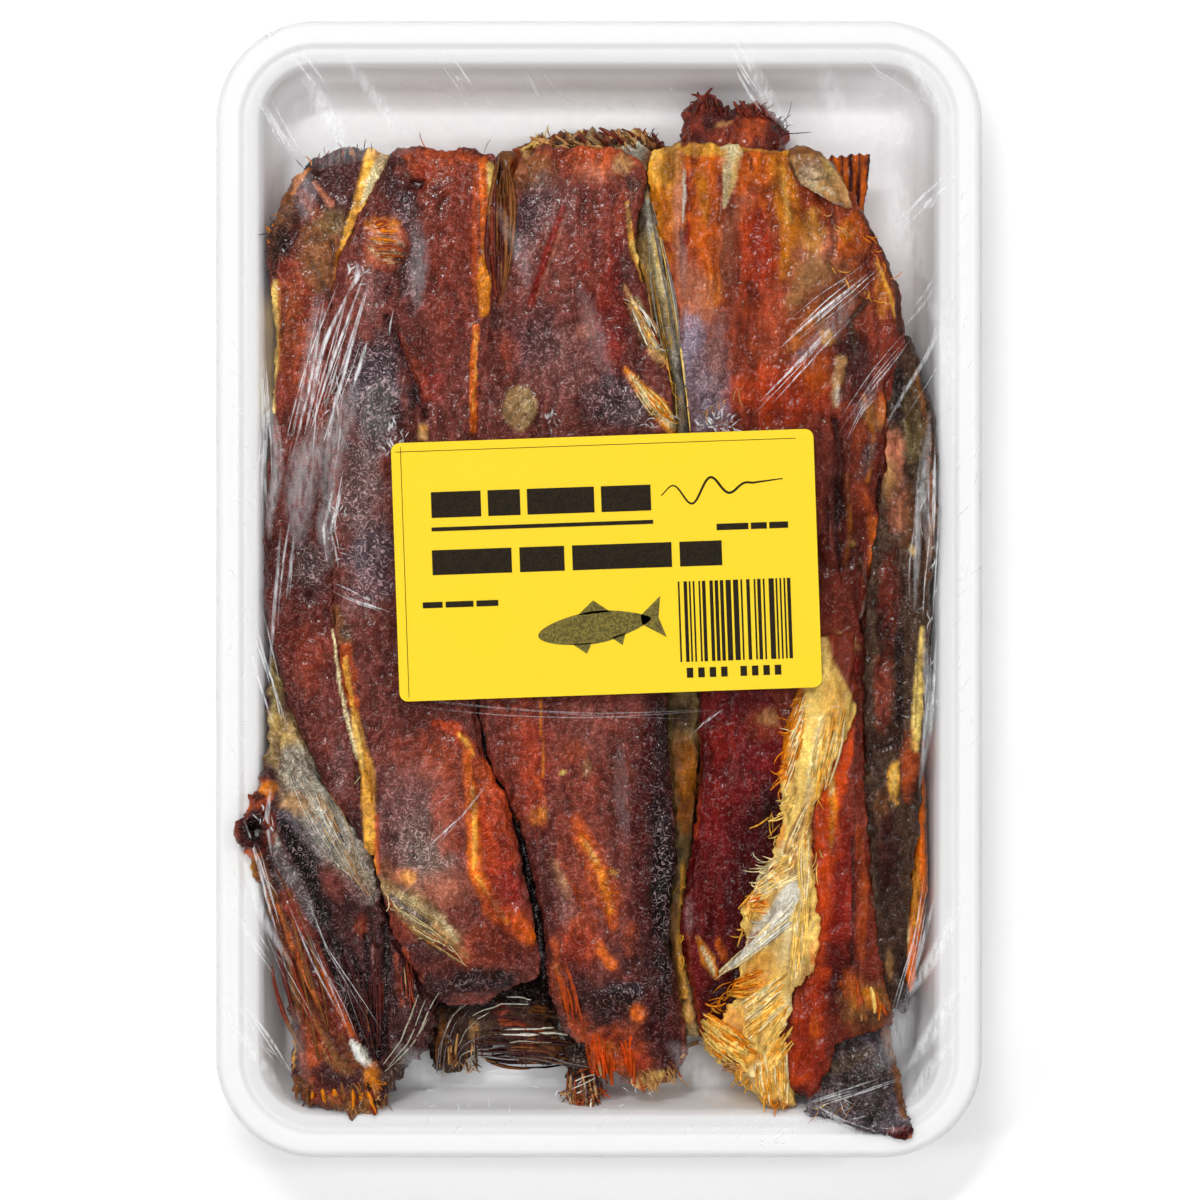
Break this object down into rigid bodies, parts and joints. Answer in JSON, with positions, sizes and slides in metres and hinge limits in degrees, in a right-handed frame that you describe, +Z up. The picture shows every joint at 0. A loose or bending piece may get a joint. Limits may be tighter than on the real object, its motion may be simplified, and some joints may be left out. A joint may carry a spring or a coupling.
{
  "type": "smoked trout in a film-wrapped tray",
  "caption": "Retail pack of smoked trout: slabs of smoked fish in a white foam tray under clear film, with a plain yellow label.",
  "frame": {"origin": "middle of the pack's underside", "axes": "+Z up towards the film and label, +Y along the pack's length towards the fish's upper ends, +X to the right of the label"},
  "size_m": [0.1554, 0.2304, 0.0313],
  "materials": {
    "foam": "white expanded foam, fine-grained",
    "film": "clear stretch film",
    "clear_sticker": "clear adhesive film",
    "label": "satin yellow label with plain dark bars",
    "smoked_skin": "oily, wrinkled smoked skin",
    "dark_skin": "dark dried skin",
    "orange_flesh": "oily orange-brown smoked flesh",
    "crimson_flesh": "dark red smoked flesh",
    "pale_flesh": "torn fibrous cream flesh",
    "silver_skin": "silvery olive belly skin",
    "amber_flesh": "amber-brown smoked flesh"
  },
  "bodies": {
    "root": {"tray": "foam", "film": "film", "clear_sticker": "clear_sticker", "label": "label", "left_slab": "smoked_skin", "second_slab": "smoked_skin", "third_slab": "smoked_skin", "folded_slab": "smoked_skin", "edge_slab": "dark_skin", "orange_slab": "orange_flesh", "crimson_slab": "crimson_flesh", "torn_flesh": "pale_flesh", "skin_strip": "silver_skin", "skin_flap": "silver_skin", "tail_skin": "dark_skin", "dark_strip": "dark_skin", "lower_fin": "dark_skin", "tail_bit": "dark_skin", "back_piece": "amber_flesh", "back_chunk": "smoked_skin", "striped_fin": "amber_flesh", "seam_sliver": "amber_flesh", "amber_sliver": "amber_flesh"}
  },
  "joints": []
}
